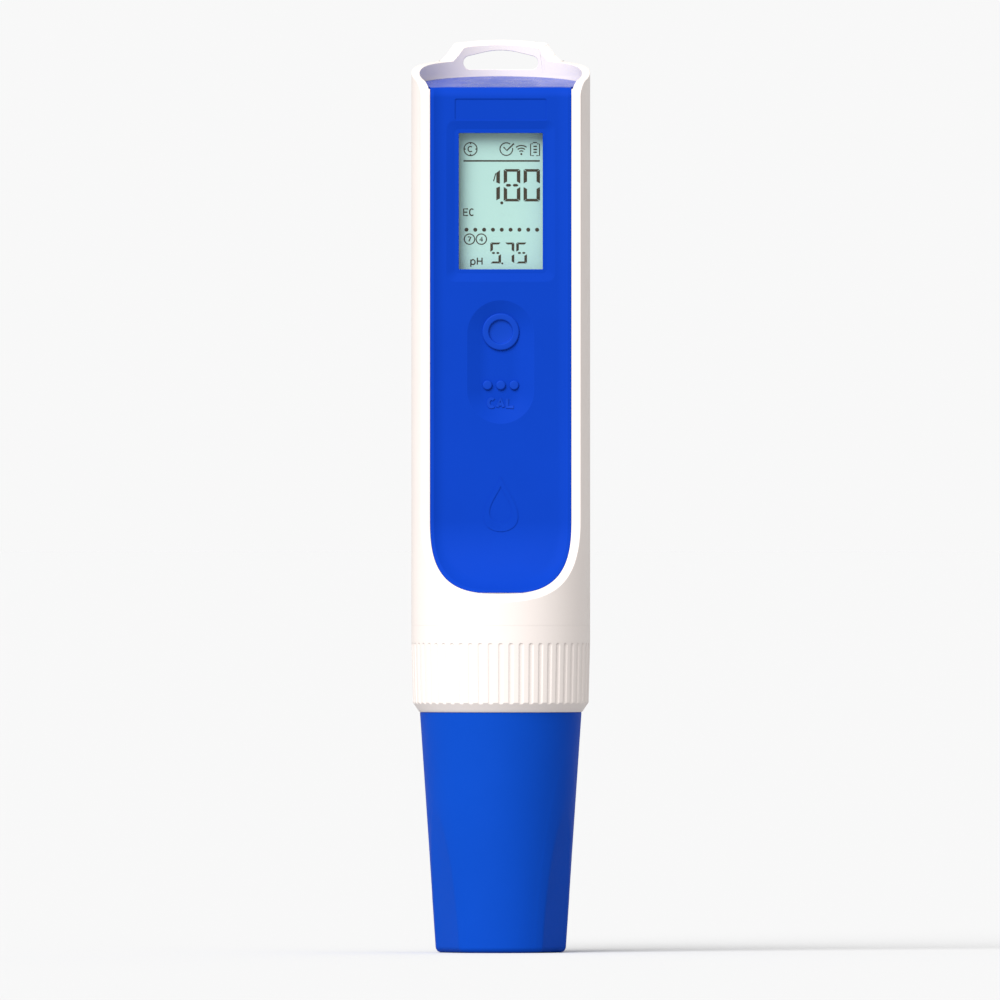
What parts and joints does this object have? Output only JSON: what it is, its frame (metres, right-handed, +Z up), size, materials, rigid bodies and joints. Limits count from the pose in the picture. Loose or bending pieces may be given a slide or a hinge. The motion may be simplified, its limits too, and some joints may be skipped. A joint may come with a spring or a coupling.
{
  "type": "ph test pen",
  "caption": "Pocket pH and conductivity test pen: round white housing with a hang loop, blue display front with keys, ribbed ring, and a probe under a pull-off storage cap.",
  "frame": {"origin": "centre of the storage cap's flat foot, at the object's lowest point, on the axis of the tube", "axes": "+Z up along the tube towards the hang loop; the display faces -Y; +X is to the right as the display is read"},
  "size_m": [0.0352, 0.0352, 0.1799],
  "materials": {
    "white_plastic": "smooth moulded, semi-gloss",
    "blue_plastic": "smooth moulded, satin",
    "clear_plastic": "polished clear acrylic",
    "display_glass": "reflective pale green liquid-crystal cell",
    "white_diffuser": "white light guide",
    "black_plastic": "moulded, matte",
    "black_rubber": "soft, matte",
    "conductive_rubber": "layered elastomer",
    "green_laminate": "solder mask",
    "spring_steel": "bright",
    "gold_plate": "gold plated",
    "graphite": "ground graphite",
    "electrode_glass": "clear blown glass",
    "silver_wire": "silver, silver chloride coated at the end",
    "porous_white": "sintered, porous",
    "cell_wrap": "printed film over a metal can",
    "grey_plastic": "moulded, matte"
  },
  "bodies": {
    "housing": {"housing": "white_plastic", "front_fascia": "blue_plastic", "display_window": "clear_plastic", "lcd_glass": "display_glass", "lcd_frame": "black_plastic", "backlight_panel": "white_diffuser", "zebra_strip_top": "conductive_rubber", "zebra_strip_bottom": "conductive_rubber", "main_board": "green_laminate", "microcontroller": "black_plastic", "radio_module": "spring_steel", "clock_crystal": "spring_steel", "power_dome": "spring_steel", "cal_dome": "spring_steel", "chassis": "grey_plastic", "battery": "cell_wrap", "battery_spring": "spring_steel", "battery_contact": "spring_steel", "door_gasket": "black_rubber", "board_screw_left": "spring_steel", "board_screw_right": "spring_steel", "contact_block": "black_plastic", "contact_pin_1": "gold_plate", "contact_pin_2": "gold_plate", "contact_pin_3": "gold_plate", "contact_pin_4": "gold_plate"},
    "power_button": {"power_button": "blue_plastic"},
    "cal_button": {"cal_button": "blue_plastic"},
    "battery_door": {"battery_door": "white_plastic", "door_screw_top": "spring_steel", "door_screw_bottom": "spring_steel"},
    "probe": {"probe_body": "black_plastic", "probe_board": "green_laminate", "probe_seal": "black_rubber", "cap_seal": "black_rubber", "collar_washer": "grey_plastic", "ph_glass": "electrode_glass", "ph_inner_electrode": "silver_wire", "reference_junction": "porous_white", "ec_pin_left": "graphite", "ec_pin_right": "graphite", "thermometer": "spring_steel"},
    "collar": {"probe_collar": "white_plastic"},
    "cap": {"storage_cap": "blue_plastic"}
  },
  "joints": [
    {"name": "power_press", "type": "slide", "parent": "housing", "child": "power_button", "axis": [0, 1, 0], "range_m": [0, 0.0004], "stiffness_N_per_m": 300, "springref_m": -0.001},
    {"name": "cal_press", "type": "slide", "parent": "housing", "child": "cal_button", "axis": [0, 1, 0], "range_m": [0, 0.0004], "stiffness_N_per_m": 300, "springref_m": -0.001},
    {"name": "battery_door_lift", "type": "slide", "parent": "housing", "child": "battery_door", "axis": [0, 1, 0], "range_m": [0, 0.02]},
    {"name": "probe_pull", "type": "slide", "parent": "probe", "child": "housing", "axis": [0, 0, 1], "range_m": [0, 0.02]},
    {"name": "collar_turn", "type": "hinge", "parent": "probe", "child": "collar", "pos_m": [0, 0, 0.055], "axis": [0, 0, -1], "range_deg": [0, 540]},
    {"name": "cap_pull", "type": "slide", "parent": "cap", "child": "probe", "axis": [0, 0, 1], "range_m": [0, 0.05]}
  ]
}
